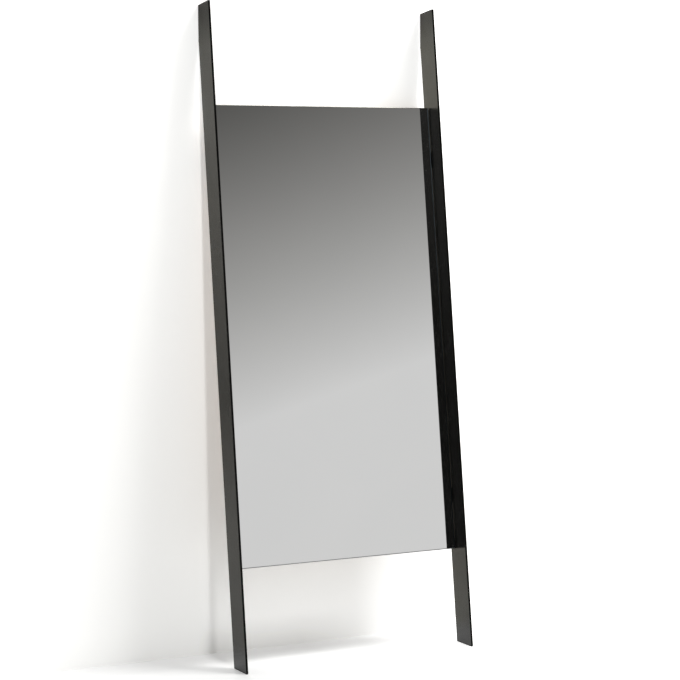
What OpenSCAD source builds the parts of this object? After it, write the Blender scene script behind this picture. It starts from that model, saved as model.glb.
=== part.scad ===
// Leaning full-length mirror: two flat steel side plates carry a frameless mirror set back between
// them. Millimetres. +Z is up, +Y points to the wall, +X is to the right of someone who looks in
// the mirror. The origin is on the floor, at the middle of the space that the mirror takes up.
//
// Most pieces lie along the side plates, so they are drawn upright and then leaned together. In
// that drawing X is across, Y is depth measured from the front edges of the side plates, and Z is
// length measured along the plates from the floor end of their front edges.

/* [Overall] */
// Height of the front top corners above the floor
height = 1800; // [1500:10:2100]
// Width over both side plates
width = 700; // [500:10:900]
// Angle between the side plates and the wall, in degrees
lean = 6.5; // [4:0.5:10]

/* [Side plates] */
// Depth of a side plate, front edge to back edge
plate_depth = 80; // [78:1:120]
// Thickness of a side plate
plate_t = 6; // [5:0.5:12]
// Length of the upright flat at the top of the back edge, which meets the wall
wall_flat = 100; // [40:5:160]
// Broken corner along the rolled edges of the plates
plate_ease = 0.6; // [0.2:0.1:1.5]
// Rounding of the two corners at the top
corner_r = 1.5; // [0.5:0.5:5]

/* [Mirror glass] */
// Length of the glass along the plates
glass_len = 1260; // [1000:10:1400]
// Thickness of the glass
glass_t = 5; // [4:1:6]
// Depth from the front edges of the plates to the face of the glass
set_back = 53; // [30:1:54]
// Gap between the glass and each side plate
glass_gap = 2; // [1:0.5:5]
// Ground bevel around both faces of the glass
glass_ease = 1; // [0.5:0.1:1.5]

/* [Backing] */
// Thickness of the tape and adhesive between glass and board
bond_t = 1; // [0.5:0.5:2]
// Width of one strip of mirror tape
tape_w = 25; // [12:1:40]
// Width of one bead of mirror adhesive once it is pressed flat
bead_w = 18; // [8:1:30]
// Number of tape strips, with a bead of adhesive between each two
tapes = 4; // [2:1:6]
// Thickness of the backing board
board_t = 9; // [8:1:9]
// Distance from the side and top edges of the glass to the edges of the board
board_inset = 3; // [2:1:20]
// Broken edge of the board
board_ease = 0.8; // [0.3:0.1:1.5]

/* [Ledge] */
// Thickness of the folded aluminium ledge under the glass
ledge_t = 1; // [0.8:0.1:2]
// Height of the leg behind the board
ledge_leg = 25; // [20:1:40]
// Thickness of the pads that the glass stands on
setting_t = 0.5; // [0.3:0.1:2]
// Length of a setting pad
setting_len = 40; // [20:5:80]

/* [Cross rails] */
// Height of a cross rail
rail_w = 40; // [36:1:60]
// Thickness of a cross rail
rail_t = 5; // [4:0.5:5]
// Distance from the ends of the glass to the middle of the rails
rail_inset = 150; // [80:10:300]
// Distance between the two tapped holes for the wall strap
strap_pitch = 80; // [40:10:140]

/* [Brackets] */
// Thickness of a bracket
bracket_t = 3; // [2:0.5:3]
// Length of the leg that carries the rail
bracket_leg = 46; // [44:1:70]
// Inner radius of the fold
bend_r = 1.5; // [1:0.5:3]
// Leg of the weld above and below a bracket
weld = 2.5; // [1.5:0.5:3]

/* [Fasteners] */
// Thread diameter of the bracket bolts and the strap holes
bolt_d = 6; // [5:1:6]
// Distance between the two bolts of a bracket
bolt_pitch = 20; // [16:1:26]
// Thread diameter of the wood screws in the board
screw_d = 4; // [3:0.5:4.5]
// Number of wood screws in each rail and in the ledge
screws = 5; // [3:2:7]

/* [Pads] */
// Thickness of the foot pads
foot_pad_t = 2; // [1:0.5:4]
// Thickness of the wall pads
wall_pad_t = 2; // [1:0.5:4]
// Distance from the outline of a plate's end to the edge of its pad
pad_inset = 0.5; // [0.2:0.1:1]

/* [Hidden] */
$fn = 48;
dome_fn = 96;
arc_steps = 6;

// Clearances
thread_gap = 0.1;
bolt_gap = 0.3;
rail_gap = 0.5;
screw_tip_gap = 1;

// Distance from an edge of the board to the outermost screws
screw_edge = 24;
// Distance by which the ends of the beads of adhesive stop short of the ends of the tape
bead_margin = 15;

// Fastener proportions, as multiples of the thread diameter
bolt_head_d = 1.75;
bolt_head_h = 0.55;
hex_d = 0.77;
hex_depth = 0.33;
pan_head_d = 2;
pan_head_h = 0.6;
cross_w = 0.25;
cross_len = 1.1;
cross_depth = 0.4;
tip_len = 0.9;

// Depths, from the front edges of the plates towards the back
glass_back = set_back + glass_t;
board_front = glass_back + bond_t;
board_back = board_front + board_t;
rail_back = board_back + rail_t;
bracket_back = rail_back + bracket_t;

// Half widths
inner_x = width / 2 - plate_t;
glass_x = inner_x - glass_gap;
board_x = glass_x - board_inset;
rail_x = inner_x - bracket_t - bend_r - rail_gap;

// Lengths along the plates
plate_top = height / cos(lean);
glass_low = (plate_top - glass_len) / 2;
glass_top = glass_low + glass_len;
board_low = glass_low - setting_t;
board_top = glass_top - board_inset;
upper_rail = glass_top - rail_inset;
lower_rail = glass_low + rail_inset;

// Outline of a plate: foot cut level with the floor, top cut square, back of the top cut upright
foot_front = foot_pad_t / cos(lean);
foot_back = foot_front + plate_depth * tan(lean);
flat_low = plate_top - wall_flat * cos(lean);
top_depth = plate_depth - wall_flat * sin(lean);
round_depth = top_depth - corner_r * (1 - sin(lean)) / cos(lean);

// Space that the mirror takes up from front to back, on the floor and at the wall
box_front = foot_pad_t * tan(lean);
plate_wall = plate_depth * cos(lean) + flat_low * sin(lean);
box_back = plate_wall + wall_pad_t;

// Evenly spaced places from -reach to reach
function spread(n, reach) = [for (i = [0 : n - 1]) -reach + 2 * reach * i / (n - 1)];

// Points of an arc of radius r about p, between the directions from and to
function arc(p, r, from, to) = [for (i = [0 : arc_steps])
    p + r * [cos(from + (to - from) * i / arc_steps), sin(from + (to - from) * i / arc_steps)]];

// Stands a piece drawn upright on its leaning place
module leaned() {
    translate([0, -(box_front + box_back) / 2, 0]) rotate([-lean, 0, 0]) children();
}

// Extrudes an outline drawn as depth and length across the width, middle at x = 0
module across(w) {
    rotate([90, 0, 90]) translate([0, 0, -w / 2]) linear_extrude(w) children();
}

// Rectangle with its four corners cut off by ease
module eased_rect(w, h, ease) {
    polygon([[ease, 0], [w - ease, 0], [w, ease], [w, h - ease], [w - ease, h], [ease, h],
        [0, h - ease], [0, ease]]);
}

// Upright slab, centred in x, whose faces meet the edges in a bevel all round
module eased_slab(w, depth, h, ease) {
    intersection() {
        across(w) eased_rect(depth, h, ease);
        translate([-w / 2, 0, 0]) linear_extrude(h) eased_rect(w, depth, ease);
    }
}

// Sheet folded square, its outer corner at the origin: one leg runs down from there and one to
// the right, each as long as its outer face, and the fold has the inner radius r
module folded(down, right, t, r) {
    difference() {
        union() {
            translate([0, -down]) square([t, down - r - t]);
            translate([r + t, -t]) square([right - r - t, t]);
            translate([r + t, -r - t]) intersection() {
                circle(r = r + t);
                translate([-r - t, 0]) square(r + t);
            }
        }
        translate([r + t, -r - t]) circle(r = r);
    }
}

// Round hole through a piece from depth y0 to y1, at place x and length z
module hole(d, x, z, y0, y1) {
    translate([x, y0 - 1, z]) rotate([-90, 0, 0]) cylinder(d = d, h = y1 - y0 + 2);
}

// Side plates

module plate_outline() {
    polygon(concat(
        [[0, foot_front]],
        arc([corner_r, plate_top - corner_r], corner_r, 180, 90),
        arc([round_depth, plate_top - corner_r], corner_r, 90, lean),
        [[plate_depth, flat_low], [plate_depth, foot_back]]
    ));
}

module side_plate() {
    intersection() {
        across(plate_t) plate_outline();
        translate([-plate_t / 2, 0, 0]) linear_extrude(plate_top)
            eased_rect(plate_t, plate_depth, plate_ease);
    }
}

module left_side_plate() {
    color("#2b2c2c") leaned() translate([-width / 2 + plate_t / 2, 0, 0]) side_plate();
}

module right_side_plate() {
    color("#2b2c2c") leaned() translate([width / 2 - plate_t / 2, 0, 0]) side_plate();
}

// Mirror glass and the strips that hold it to the board

module mirror_glass() {
    color("#a9acab") leaned() translate([0, set_back, glass_low])
        eased_slab(2 * glass_x, glass_t, glass_len, glass_ease);
}

// The pads stand under the quarter points of the glass
module setting_pads() {
    color("#1a1a1a") leaned() {
        for (x = [-glass_x / 2, glass_x / 2])
            translate([x - setting_len / 2, set_back + glass_ease, board_low])
                cube([setting_len, glass_t - glass_ease, setting_t]);
    }
}

tape_reach = board_x - board_inset - tape_w / 2;
tape_low = glass_low + board_inset;
tape_len = board_top - board_inset - tape_low;

module mirror_tape() {
    color("#e8e6df") leaned() {
        for (x = spread(tapes, tape_reach))
            translate([x - tape_w / 2, glass_back, tape_low]) cube([tape_w, bond_t, tape_len]);
    }
}

bead_step = 2 * tape_reach / (tapes - 1);
bead_low = tape_low + bead_margin + bead_w / 2;

// One pressed bead: a flat strip with round ends
module bead() {
    straight = tape_len - 2 * bead_margin - bead_w;
    for (z = [0, straight])
        translate([0, 0, z]) rotate([-90, 0, 0]) cylinder(d = bead_w, h = bond_t);
    translate([-bead_w / 2, 0, 0]) cube([bead_w, bond_t, straight]);
}

module mirror_adhesive() {
    color("#c9c7c0") leaned() {
        for (i = [0 : tapes - 2])
            translate([-tape_reach + bead_step * (i + 0.5), glass_back, bead_low]) bead();
    }
}

// Board and ledge

rail_screw_reach = board_x - screw_edge - bracket_leg;
ledge_screw_reach = board_x - screw_edge;
ledge_screw_z = board_low + ledge_leg / 2;

// Screw length that stops short of the front of the board
rail_screw_len = rail_t + board_t - screw_tip_gap;
ledge_screw_len = ledge_t + board_t - screw_tip_gap;

module backing_board() {
    color("#8c7661") leaned() difference() {
        translate([0, board_front, board_low])
            eased_slab(2 * board_x, board_t, board_top - board_low, board_ease);
        for (x = spread(screws, rail_screw_reach), z = [lower_rail, upper_rail])
            pilot(x, z, board_back + rail_t - rail_screw_len);
        for (x = spread(screws, ledge_screw_reach))
            pilot(x, ledge_screw_z, board_back + ledge_t - ledge_screw_len);
    }
}

// Blind hole for a wood screw, open at the back of the board
module pilot(x, z, bottom) {
    translate([x, bottom - thread_gap, z]) rotate([-90, 0, 0])
        cylinder(d = screw_d + 2 * thread_gap, h = board_back - bottom + 1);
}

// The fold takes up the broken edge of the board
module ledge_outline() {
    translate([board_back + ledge_t, board_low - ledge_t]) rotate(180)
        folded(ledge_leg + ledge_t, board_back + ledge_t - set_back, ledge_t, board_ease);
}

module glass_ledge() {
    color("#b4b7b8") leaned() difference() {
        across(2 * glass_x) ledge_outline();
        for (x = spread(screws, ledge_screw_reach))
            hole(screw_d + 2 * bolt_gap, x, ledge_screw_z, board_back, board_back + ledge_t);
    }
}

// Rails and brackets

// Distances of a bracket's two bolts from the middle of the mirror
bolt_places = [for (k = [-1, 1])
    inner_x - (bracket_t + bend_r + bracket_leg) / 2 + k * bolt_pitch / 2];

module cross_rail(z) {
    difference() {
        translate([0, board_back, z - rail_w / 2])
            eased_slab(2 * rail_x, rail_t, rail_w, plate_ease / 2);
        for (x = spread(screws, rail_screw_reach))
            hole(screw_d + 2 * bolt_gap, x, z, board_back, rail_back);
        for (side = [-1, 1], x = bolt_places)
            hole(bolt_d + 2 * thread_gap, side * x, z, board_back, rail_back);
    }
}

// The upper rail has two tapped holes for a strap to the wall
module upper_cross_rail() {
    color("#232424") leaned() difference() {
        cross_rail(upper_rail);
        for (x = [-strap_pitch / 2, strap_pitch / 2])
            hole(bolt_d, x, upper_rail, board_back, rail_back);
    }
}

module lower_cross_rail() {
    color("#232424") leaned() cross_rail(lower_rail);
}

welded_leg = bracket_back - board_front;

// Weld bead along the end of a bracket's welded leg, against the left plate
module weld_bead() {
    rotate([90, 0, 0]) linear_extrude(welded_leg - bend_r - bracket_t)
        polygon([[0, 0], [weld, 0], [0, weld]]);
}

// Bracket on the left plate, with its welds
module bracket(z) {
    color("#232424") leaned() translate([-inner_x, bracket_back, z]) {
        difference() {
            translate([0, 0, -rail_w / 2]) linear_extrude(rail_w)
                folded(welded_leg, bracket_leg, bracket_t, bend_r);
            for (x = bolt_places)
                hole(bolt_d + 2 * bolt_gap, inner_x - x, 0, -bracket_t, 0);
        }
        for (end = [0, 1]) mirror([0, 0, end])
            translate([0, -bend_r - bracket_t, rail_w / 2]) weld_bead();
    }
}

module left_upper_bracket() {
    bracket(upper_rail);
}

module left_lower_bracket() {
    bracket(lower_rail);
}

module right_upper_bracket() {
    mirror([1, 0, 0]) bracket(upper_rail);
}

module right_lower_bracket() {
    mirror([1, 0, 0]) bracket(lower_rail);
}

// Fasteners, drawn with the head above z = 0 and the shank below it

// Dome of diameter d and height h that stands on z = 0
module dome(d, h) {
    r = (d * d / 4 + h * h) / (2 * h);
    intersection() {
        cylinder(d = d, h = h);
        translate([0, 0, h - r]) sphere(r = r, $fn = dome_fn);
    }
}

module button_bolt(d, len) {
    difference() {
        union() {
            dome(d * bolt_head_d, d * bolt_head_h);
            translate([0, 0, -len]) cylinder(d = d, h = len);
        }
        translate([0, 0, d * (bolt_head_h - hex_depth)]) cylinder(d = d * hex_d, h = d, $fn = 6);
    }
}

module wood_screw(d, len) {
    difference() {
        union() {
            dome(d * pan_head_d, d * pan_head_h);
            translate([0, 0, -len + d * tip_len]) cylinder(d = d, h = len - d * tip_len);
            translate([0, 0, -len]) cylinder(d1 = d / 6, d2 = d, h = d * tip_len);
        }
        for (turn = [0, 90]) rotate([0, 0, turn])
            translate([-d * cross_len / 2, -d * cross_w / 2, d * (pan_head_h - cross_depth)])
                cube([d * cross_len, d * cross_w, d]);
    }
}

// Points a fastener to the front, its head on the surface at depth y
module from_behind(x, y, z) {
    translate([x, y, z]) rotate([-90, 0, 0]) children();
}

module ledge_screws() {
    color("#8d8f90") leaned() {
        for (x = spread(screws, ledge_screw_reach))
            from_behind(x, board_back + ledge_t, ledge_screw_z)
                wood_screw(screw_d, ledge_screw_len);
    }
}

module rail_screws() {
    color("#8d8f90") leaned() {
        for (x = spread(screws, rail_screw_reach), z = [lower_rail, upper_rail])
            from_behind(x, rail_back, z) wood_screw(screw_d, rail_screw_len);
    }
}

module bracket_bolts() {
    color("#3a3b3c") leaned() {
        for (side = [-1, 1], x = bolt_places, z = [lower_rail, upper_rail])
            from_behind(side * x, bracket_back, z) button_bolt(bolt_d, rail_t + bracket_t);
    }
}

// Pads

pad_w = plate_t - 2 * pad_inset;

// The foot pads are drawn in place, since the plates' foot ends are level
module foot_pad(side) {
    foot_len = plate_depth / cos(lean);
    color("#151515") translate([side * (width - plate_t) / 2 - pad_w / 2,
        box_front - (box_front + box_back) / 2 + pad_inset, 0])
            cube([pad_w, foot_len - 2 * pad_inset, foot_pad_t]);
}

module left_foot_pad() {
    foot_pad(-1);
}

module right_foot_pad() {
    foot_pad(1);
}

// The wall pads are drawn in place, since the flats are upright
module wall_pad(side) {
    low = flat_low * cos(lean) - plate_depth * sin(lean);
    color("#151515") translate([side * (width - plate_t) / 2 - pad_w / 2,
        plate_wall - (box_front + box_back) / 2, low + pad_inset])
            cube([pad_w, wall_pad_t, wall_flat - 2 * pad_inset]);
}

module left_wall_pad() {
    wall_pad(-1);
}

module right_wall_pad() {
    wall_pad(1);
}

left_side_plate();
right_side_plate();
mirror_glass();
setting_pads();
mirror_tape();
mirror_adhesive();
backing_board();
glass_ledge();
ledge_screws();
upper_cross_rail();
lower_cross_rail();
rail_screws();
left_upper_bracket();
left_lower_bracket();
right_upper_bracket();
right_lower_bracket();
bracket_bolts();
left_foot_pad();
right_foot_pad();
left_wall_pad();
right_wall_pad();
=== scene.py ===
"""Looks of a leaning full-length mirror: two black steel side plates, a frameless mirror set back
between them, and the board, rails, brackets and screws behind it."""

import logging
import math
from dataclasses import dataclass
from enum import Enum
from functools import cached_property, reduce

import bmesh
import bpy
from mathutils import Matrix, Vector


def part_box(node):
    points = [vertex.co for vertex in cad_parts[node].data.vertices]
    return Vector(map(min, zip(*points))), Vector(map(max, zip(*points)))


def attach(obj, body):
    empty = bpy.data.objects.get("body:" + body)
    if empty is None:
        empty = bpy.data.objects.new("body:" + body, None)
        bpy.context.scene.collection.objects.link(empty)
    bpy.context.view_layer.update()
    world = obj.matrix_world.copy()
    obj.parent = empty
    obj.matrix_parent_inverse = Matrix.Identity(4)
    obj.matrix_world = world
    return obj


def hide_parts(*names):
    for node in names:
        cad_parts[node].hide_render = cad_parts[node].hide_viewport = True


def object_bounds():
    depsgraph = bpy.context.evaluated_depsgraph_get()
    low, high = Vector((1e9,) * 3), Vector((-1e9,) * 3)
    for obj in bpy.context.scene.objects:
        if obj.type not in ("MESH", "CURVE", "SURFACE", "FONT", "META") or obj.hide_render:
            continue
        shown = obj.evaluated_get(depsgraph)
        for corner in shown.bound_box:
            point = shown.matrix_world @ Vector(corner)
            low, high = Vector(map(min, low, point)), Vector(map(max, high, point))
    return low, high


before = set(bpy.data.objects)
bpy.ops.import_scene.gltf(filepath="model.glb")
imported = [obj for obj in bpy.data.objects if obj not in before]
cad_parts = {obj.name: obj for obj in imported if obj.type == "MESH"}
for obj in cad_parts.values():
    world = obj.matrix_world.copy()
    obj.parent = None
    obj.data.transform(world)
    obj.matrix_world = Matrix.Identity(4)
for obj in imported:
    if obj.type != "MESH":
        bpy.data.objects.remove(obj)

CAD_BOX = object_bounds()
BODY = "root"

LOG = logging.getLogger("mirror")

MM = 0.001
CLOSE = 0.01 * MM
FACING = 0.9
PHOTO_WIDTH_PX = 680
SENSOR_MM = 36.0

Point2 = tuple[float, float]
Point3 = tuple[float, float, float]
Band = tuple[Point2, Point2]
Colour = tuple[float, float, float]
BMesh = bmesh.types.BMesh
Object = bpy.types.Object
Material = bpy.types.Material
Tree = bpy.types.NodeTree
Node = bpy.types.Node
Socket = bpy.types.NodeSocket
Value = Socket | float

WHITE: Colour = (1.0, 1.0, 1.0)


class Side(Enum):
    """The two sides of the mirror, by their sign along X."""

    LEFT = -1
    RIGHT = 1

    @property
    def label(self) -> str:
        """The side's name as the nodes spell it."""
        return self.name.lower()


class Level(Enum):
    """The two heights that have a rail and its brackets."""

    UPPER = "upper"
    LOWER = "lower"


# Places


@dataclass(frozen=True)
class Extent:
    """A box in the upright drawing: x across, y in depth, z along the side plates."""

    low: Vector
    high: Vector

    @classmethod
    def around(cls, points: list[Vector]) -> "Extent":
        """Gives the box around some points."""
        return cls(*(Vector([pick(p[i] for p in points) for i in range(3)])
                     for pick in (min, max)))

    @property
    def centre(self) -> Vector:
        """The middle of the box."""
        return (self.low + self.high) / 2

    @property
    def size(self) -> Vector:
        """The box's three sides."""
        return self.high - self.low


@dataclass(frozen=True)
class Leaning:
    """The place that most pieces share: drawn upright, then leaned back on the feet.

    Attributes:
        angle: the lean from the vertical, in radians.
    """

    angle: float

    @cached_property
    def foot_y(self) -> float:
        """Where the front edge line of the plates meets the floor."""
        low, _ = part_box("left_side_plate")
        return low.y - low.z * math.tan(self.angle)

    @property
    def matrix(self) -> Matrix:
        """Takes a point of the upright drawing to its leaning place."""
        return Matrix.Translation((0, self.foot_y, 0)) @ Matrix.Rotation(-self.angle, 4, "X")

    def extent(self, node: str) -> Extent:
        """Measures a CAD node in the upright drawing."""
        back = self.matrix.inverted()
        return Extent.around([back @ v.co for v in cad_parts[node].data.vertices])

    def islands(self, node: str) -> list[Extent]:
        """Measures each separate solid of a CAD node in the upright drawing.

        Args:
            node: the CAD node's name.

        Returns:
            One box for each solid, from the bottom up and from left to right.
        """
        bm = bmesh.new()
        bm.from_mesh(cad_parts[node].data)
        bmesh.ops.remove_doubles(bm, verts=bm.verts, dist=CLOSE)
        bm.transform(self.matrix.inverted())
        todo, found = set(bm.verts), []
        while todo:
            island, edge = set(), [next(iter(todo))]
            while edge:
                v = edge.pop()
                if v not in island:
                    island.add(v)
                    edge.extend(e.other_vert(v) for e in v.link_edges)
            todo -= island
            found.append(Extent.around([v.co for v in island]))
        bm.free()
        return sorted(found, key=lambda e: (round(e.low.z, 4), e.low.x))


LEAN = Leaning(math.radians(6.5))


# Node trees


class Shader:
    """A small builder of node trees, for materials, node groups and geometry."""

    def __init__(self, tree: Tree) -> None:
        """Starts on a tree."""
        self.tree = tree

    def fill(self, made: Node, inputs: dict[str | int, object]) -> None:
        """Sets a node's inputs.

        Args:
            made: the node.
            inputs: sockets to join to its inputs, or plain values, by name or number.
        """
        for key, value in inputs.items():
            if isinstance(value, Socket):
                self.tree.links.new(value, made.inputs[key])
            else:
                made.inputs[key].default_value = value

    def node(self, kind: str, inputs: dict[str | int, object] | None = None,
             **values: object) -> Node:
        """Adds a node.

        Args:
            kind: the node's type name.
            inputs: sockets to join to its inputs, or plain values, by name or number.
            values: properties to set on it.

        Returns:
            The node.
        """
        made = self.tree.nodes.new(kind)
        for key, value in values.items():
            setattr(made, key, value)
        self.fill(made, inputs or {})
        return made

    def noise(self, where: Socket, scale: Value, detail: float = 2.0, rough: float = 0.5,
              distortion: float = 0.0) -> Socket:
        """Adds a noise texture.

        Args:
            where: the coordinates.
            scale: cells in a metre.
            detail: the number of finer layers.
            rough: the share of the finer layers.
            distortion: how far it is warped.

        Returns:
            The noise's value.
        """
        return self.node("ShaderNodeTexNoise", {
            "Vector": where, "Scale": scale, "Detail": detail, "Roughness": rough,
            "Distortion": distortion}).outputs["Fac"]

    def spread(self, value: Socket, low: float, high: float, start: float = 0.3,
               end: float = 0.7) -> Socket:
        """Maps a value from start..end to low..high.

        Args:
            value: the value to map.
            low: the result at start.
            high: the result at end.
            start: the value that gives low.
            end: the value that gives high.

        Returns:
            The mapped value.
        """
        return self.node("ShaderNodeMapRange", {
            "Value": value, "From Min": start, "From Max": end, "To Min": low,
            "To Max": high}).outputs["Result"]

    def band(self, value: Socket, rise: Point2, fall: Point2, before: float = 0.0,
             after: float = 0.0) -> Socket:
        """Maps a value to 1 in a band with soft ends.

        Args:
            value: the value to map.
            rise: where the band starts and is full.
            fall: where it starts to fade and has.
            before: the result below it.
            after: the result above it.

        Returns:
            The mapped value.
        """
        return self.product(self.spread(value, before, 1.0, *rise),
                            self.spread(value, 1.0, after, *fall))

    def blend(self, mask: Socket, first: Socket | Colour, second: Socket | Colour) -> Socket:
        """Mixes two linear colours: a mask of 0 gives the first, and 1 the second."""
        ends = [(*end, 1) if isinstance(end, tuple) else end for end in (first, second)]
        return self.node("ShaderNodeMix", {"Factor": mask, "A": ends[0], "B": ends[1]},
                         data_type="RGBA").outputs["Result"]

    def mix(self, mask: Socket, first: Value, second: Value) -> Socket:
        """Mixes two values: a mask of 0 gives the first, and 1 the second."""
        return self.node("ShaderNodeMix", {"Factor": mask, "A": first, "B": second},
                         data_type="FLOAT").outputs["Result"]

    def math(self, operation: str, first: Value, second: Value) -> Socket:
        """Combines two values."""
        return self.node("ShaderNodeMath", {0: first, 1: second},
                         operation=operation).outputs["Value"]

    def product(self, *factors: Value) -> Socket:
        """Multiplies values."""
        return reduce(lambda a, b: self.math("MULTIPLY", a, b), factors)

    def total(self, *terms: Value) -> Socket:
        """Adds values up."""
        return reduce(lambda a, b: self.math("ADD", a, b), terms)

    def axes(self, where: Socket) -> list[Socket]:
        """Splits coordinates into X, Y and Z."""
        return list(self.node("ShaderNodeSeparateXYZ", {"Vector": where}).outputs)

    def scaled(self, where: Socket, factors: Point3) -> Socket:
        """Scales coordinates along the three axes."""
        return self.node("ShaderNodeVectorMath", {0: where, 1: factors},
                         operation="MULTIPLY").outputs["Vector"]

    def light_path(self) -> tuple[Socket, Socket, Socket]:
        """Tells the rays apart.

        Returns:
            1 for a camera ray, 1 for a ray in a reflection or in glass, and the number of
            reflections so far.
        """
        light = self.node("ShaderNodeLightPath").outputs
        mirrored = self.math("MAXIMUM", light["Is Glossy Ray"], light["Is Transmission Ray"])
        return light["Is Camera Ray"], mirrored, light["Glossy Depth"]


class Look(Shader):
    """A builder of one material, with a principled shader over object coordinates."""

    def __init__(self, name: str, values: dict[str, object]) -> None:
        """Starts the material.

        Args:
            name: its name.
            values: plain values of the shader's own sockets.
        """
        self.material = bpy.data.materials.new(name)
        self.material.use_nodes = True
        super().__init__(self.material.node_tree)
        self.principled = self.tree.nodes["Principled BSDF"]
        self.fill(self.principled, values)
        self.where = self.node("ShaderNodeTexCoord").outputs["Object"]

    def effect(self, group: Tree, size: float, where: Socket | None = None
               ) -> bpy.types.NodeOutputs:
        """Places a shared effect in the material.

        Args:
            group: the node group.
            size: the effect's size in metres.
            where: the coordinates, where they aren't the object's.

        Returns:
            What the group puts out.
        """
        where = self.where if where is None else where
        return self.node("ShaderNodeGroup", {"Vector": where, "Size": size},
                         node_tree=group).outputs

    def surface(self, colour: Socket, roughness: Socket) -> None:
        """Gives the shader its colour and roughness."""
        self.fill(self.principled, {"Base Color": colour, "Roughness": roughness})

    def bump(self, height: Socket, depth: float, strength: float) -> None:
        """Raises the surface.

        Args:
            height: the height, 0 to 1.
            depth: the height of 1, in metres.
            strength: the share of the effect that is used.
        """
        bump = self.node("ShaderNodeBump", {
            "Height": height, "Distance": depth, "Strength": strength})
        self.fill(self.principled, {"Normal": bump.outputs["Normal"]})


def new_tree(name: str, kind: str, inputs: dict[str, tuple[str, object]], outputs: dict[str, str]
             ) -> tuple[Shader, bpy.types.NodeOutputs]:
    """Starts a node group or a Geometry Nodes tree.

    Args:
        name: its name.
        kind: the tree's type name.
        inputs: each input's name, with its kind of socket and usual value.
        outputs: each output's name, with its kind of socket.

    Returns:
        Its builder, and the sockets of its inputs.
    """
    tree = bpy.data.node_groups.new(name, kind)
    for key, (socket, value) in inputs.items():
        made = tree.interface.new_socket(key, in_out="INPUT", socket_type=f"NodeSocket{socket}")
        if value is not None:
            made.default_value = value
    for key, socket in outputs.items():
        tree.interface.new_socket(key, in_out="OUTPUT", socket_type=f"NodeSocket{socket}")
    shader = Shader(tree)
    return shader, shader.node("NodeGroupInput").outputs


def new_effect(name: str, size: float, *outputs: str) -> tuple[Shader, Socket, Socket]:
    """Starts a shader node group that draws a pattern of a named size.

    Args:
        name: its name.
        size: the pattern's usual size, in metres.
        outputs: the names of the values that it puts out.

    Returns:
        Its builder, the coordinates, and how many times the pattern fits in a metre.
    """
    shader, into = new_tree(name, "ShaderNodeTree", {
        "Vector": ("Vector", None), "Size": ("Float", size)}, dict.fromkeys(outputs, "Float"))
    return shader, into["Vector"], shader.math("DIVIDE", 1.0, into["Size"])


def build_peel_effect() -> Tree:
    """Makes the pebbled surface of powder coat and moulded rubber.

    Returns:
        The group: pebble Size in metres in, Height and Speck out.
    """
    shader, where, scale = new_effect("pebbled_skin", 1.0 * MM, "Height", "Speck")
    pebble = shader.node("ShaderNodeTexVoronoi", {
        "Vector": where, "Scale": scale, "Smoothness": 0.8}, feature="SMOOTH_F1")
    swell = shader.noise(where, shader.product(scale, 0.4), 3.0)
    speck = shader.noise(where, shader.product(scale, 2.5), 1.0)
    shader.node("NodeGroupOutput", {
        "Height": shader.total(pebble.outputs["Distance"], swell), "Speck": speck})
    return shader.tree


def build_handling_effect() -> Tree:
    """Makes the faint cloudy marks that hands and cloths leave.

    Returns:
        The group: patch Size in metres in, Mask out.
    """
    shader, where, scale = new_effect("handling_marks", 150.0 * MM, "Mask")
    cloud = shader.noise(where, scale, 4.0, 0.55, 0.6)
    shader.node("NodeGroupOutput", {"Mask": shader.spread(cloud, 0.0, 1.0, 0.35, 0.68)})
    return shader.tree


def build_streak_effect() -> Tree:
    """Makes the long faint streaks that rolling leaves along flat bar.

    Returns:
        The group: streak Size across, in metres, in, Mask out.
    """
    shader, where, scale = new_effect("rolling_streaks", 3.0 * MM, "Mask")
    upright = shader.node("ShaderNodeMapping", {
        "Vector": where, "Rotation": (LEAN.angle, 0, 0)}).outputs["Vector"]
    streak = shader.noise(shader.scaled(upright, (1, 1, 0.012)), scale, 3.0, 0.6)
    shader.node("NodeGroupOutput", {"Mask": shader.spread(streak, 0.0, 1.0)})
    return shader.tree


PEEL = build_peel_effect()
HANDLING = build_handling_effect()
STREAKS = build_streak_effect()


# Finishes


@dataclass(frozen=True)
class Finish:
    """What every finish has: a name and a principled shader.

    Attributes:
        name: the material's name.
        metallic: the shader's metallic value.
        ior: the shader's refractive index.
        specular: the shader's specular level.
    """

    name: str
    metallic: float = 0.0
    ior: float = 1.5
    specular: float = 0.5

    def build(self) -> Material:
        """Makes the material."""
        look = Look(self.name, {"Metallic": self.metallic, "IOR": self.ior,
                                "Specular IOR Level": self.specular})
        self.paint(look)
        return look.material

    def paint(self, look: Look) -> None:
        """Draws the surface, each finish in its own way."""
        raise NotImplementedError


@dataclass(frozen=True, kw_only=True)
class SkinnedFinish(Finish):
    """A pebbled skin over a solid colour: rubber, paint, foam, adhesive.

    Attributes:
        dark: the colour in the hollows of the cloudy marks.
        light: the colour on them.
        sheen: the roughness where it is smoothest.
        dull: the roughness where it is dullest.
        pebble: the size of the skin's pebbles, in metres.
        relief: the height of the pebbles, in metres.
        cloud: the size of the cloudy marks, in metres.
    """

    dark: Colour
    light: Colour
    sheen: float
    dull: float
    pebble: float
    relief: float
    cloud: float

    def paint(self, look: Look) -> None:
        """Draws the skin."""
        skin = look.effect(PEEL, self.pebble)
        marks = look.effect(HANDLING, self.cloud)["Mask"]
        tint, gloss = (look.product(look.spread(skin["Speck"], least, 1.0), marks)
                       for least in (0.4, 0.6))
        look.surface(look.blend(tint, self.dark, self.light),
                     look.spread(gloss, self.sheen, self.dull, 0.0, 1.0))
        look.bump(skin["Height"], self.relief, 0.5)


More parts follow.
